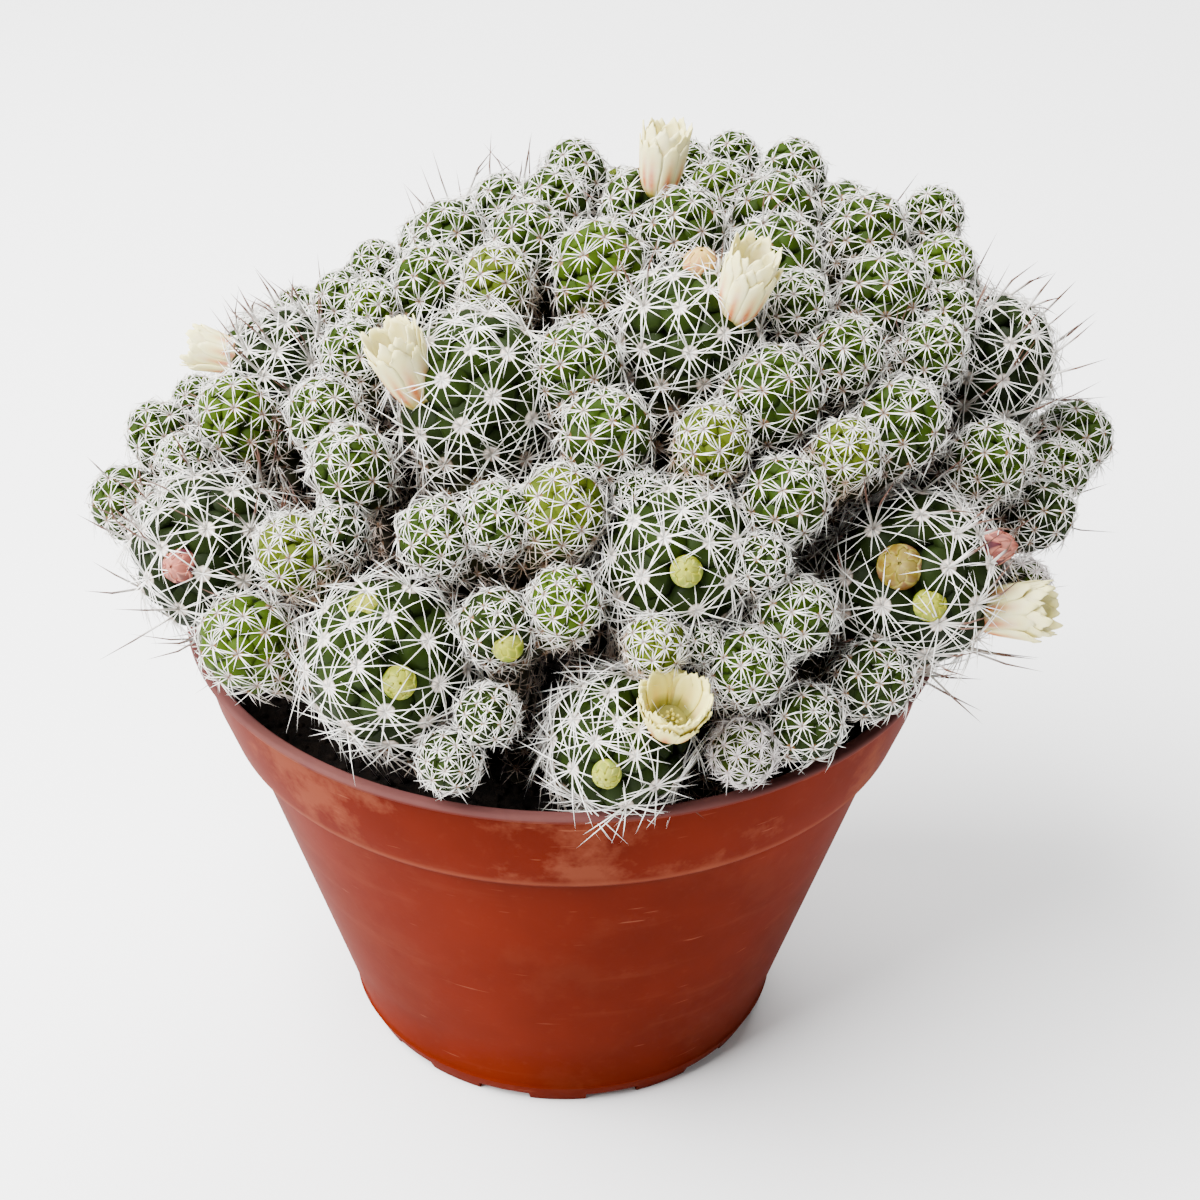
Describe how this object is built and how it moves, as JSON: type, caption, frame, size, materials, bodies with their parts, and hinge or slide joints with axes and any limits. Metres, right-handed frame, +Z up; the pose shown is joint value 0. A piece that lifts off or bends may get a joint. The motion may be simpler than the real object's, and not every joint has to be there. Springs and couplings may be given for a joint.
{
  "type": "potted cactus",
  "caption": "Clump of small round white-spined cactus heads with cream flowers and buds, growing in soil in a tapered round plastic nursery pot with a rim band and a notched foot.",
  "frame": {"origin": "middle of the pot's flat foot, on the surface that the pot stands on", "axes": "+Z up; the front of the clump, as pictured, faces -Y, and +X is to its right"},
  "size_m": [0.2141, 0.177, 0.204],
  "materials": {
    "pot_plastic": "satin terracotta-coloured plastic, scuffed",
    "soil": "rough, crumbly, near black",
    "cactus": "green flesh under stars of white spines, brown lower down",
    "petal": "silky cream yellow with pink streaks at the foot",
    "bud_peach": "silky",
    "bud_yellow": "silky",
    "bud_green": "silky",
    "bud_pink": "silky"
  },
  "bodies": {
    "root": {"pot": "pot_plastic", "soil": "soil", "stem_01": "cactus", "stem_02": "cactus", "stem_03": "cactus", "stem_04": "cactus", "stem_05": "cactus", "stem_06": "cactus", "stem_07": "cactus", "stem_08": "cactus", "stem_09": "cactus", "stem_10": "cactus", "stem_11": "cactus", "stem_12": "cactus", "stem_13": "cactus", "stem_14": "cactus", "stem_15": "cactus", "stem_16": "cactus", "stem_17": "cactus", "stem_18": "cactus", "stem_19": "cactus", "stem_20": "cactus", "stem_21": "cactus", "stem_22": "cactus", "stem_23": "cactus", "stem_24": "cactus", "stem_25": "cactus", "stem_26": "cactus", "stem_27": "cactus", "stem_28": "cactus", "stem_29": "cactus", "stem_30": "cactus", "stem_31": "cactus", "stem_32": "cactus", "stem_33": "cactus", "stem_34": "cactus", "stem_35": "cactus", "stem_36": "cactus", "stem_37": "cactus", "stem_38": "cactus", "stem_39": "cactus", "stem_40": "cactus", "stem_41": "cactus", "stem_42": "cactus", "flower_1": "petal", "flower_2": "petal", "flower_3": "petal", "flower_4": "petal", "flower_5": "petal", "flower_6": "petal", "bud_1": "bud_peach", "bud_2": "bud_yellow", "bud_3": "bud_green", "bud_4": "bud_pink", "bud_5": "bud_pink", "bud_6": "bud_green", "bud_7": "bud_green", "bud_8": "bud_green", "bud_9": "bud_green", "bud_10": "bud_green"}
  },
  "joints": []
}
